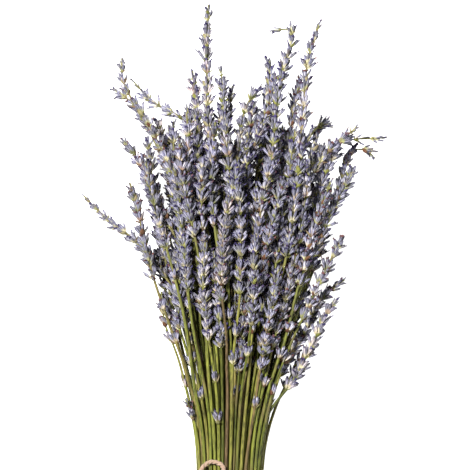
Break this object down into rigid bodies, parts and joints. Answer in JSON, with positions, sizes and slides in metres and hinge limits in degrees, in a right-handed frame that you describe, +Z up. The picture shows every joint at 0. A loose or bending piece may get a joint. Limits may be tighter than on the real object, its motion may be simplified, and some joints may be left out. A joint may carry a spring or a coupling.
{
  "type": "bunch of dried lavender",
  "caption": "Bunch of dried lavender that lies on a table: thin straight stems tied near their middle with a bow of jute twine, fanning out into whorled flower spikes.",
  "frame": {"origin": "on the surface that the bunch lies on, under the middle of its box", "axes": "+Y along the stems towards the flowers, +Z up out of the surface (the knot is on top), +X to the right seen from above with the flowers away from the viewer"},
  "size_m": [0.1707, 0.3998, 0.0713],
  "materials": {
    "dried_lavender": "dry and matt: papery grey-violet calyces with pale ribs, on straw-like olive stems",
    "jute_twine": "matt, twisted, hairy natural jute, pinkish tan"
  },
  "bodies": {
    "root": {"sprig_01": "dried_lavender", "sprig_02": "dried_lavender", "sprig_03": "dried_lavender", "sprig_04": "dried_lavender", "sprig_05": "dried_lavender", "sprig_06": "dried_lavender", "sprig_07": "dried_lavender", "sprig_08": "dried_lavender", "sprig_09": "dried_lavender", "sprig_10": "dried_lavender", "sprig_11": "dried_lavender", "sprig_12": "dried_lavender", "sprig_13": "dried_lavender", "sprig_14": "dried_lavender", "sprig_15": "dried_lavender", "sprig_16": "dried_lavender", "sprig_17": "dried_lavender", "sprig_18": "dried_lavender", "sprig_19": "dried_lavender", "sprig_20": "dried_lavender", "sprig_21": "dried_lavender", "sprig_22": "dried_lavender", "sprig_23": "dried_lavender", "sprig_24": "dried_lavender", "sprig_25": "dried_lavender", "sprig_26": "dried_lavender", "sprig_27": "dried_lavender", "sprig_28": "dried_lavender", "sprig_29": "dried_lavender", "sprig_30": "dried_lavender", "sprig_31": "dried_lavender", "sprig_32": "dried_lavender", "sprig_33": "dried_lavender", "sprig_34": "dried_lavender", "sprig_35": "dried_lavender", "sprig_36": "dried_lavender", "sprig_37": "dried_lavender", "sprig_38": "dried_lavender", "sprig_39": "dried_lavender", "sprig_40": "dried_lavender", "sprig_41": "dried_lavender", "sprig_42": "dried_lavender", "sprig_43": "dried_lavender", "sprig_44": "dried_lavender", "sprig_45": "dried_lavender", "sprig_46": "dried_lavender", "sprig_47": "dried_lavender", "sprig_48": "dried_lavender", "sprig_49": "dried_lavender", "sprig_50": "dried_lavender", "sprig_51": "dried_lavender", "sprig_52": "dried_lavender", "sprig_53": "dried_lavender", "sprig_54": "dried_lavender", "twine_wrap": "jute_twine", "twine_knot": "jute_twine", "twine_loop_left": "jute_twine", "twine_loop_right": "jute_twine", "twine_tail_left": "jute_twine", "twine_tail_right": "jute_twine"}
  },
  "joints": []
}
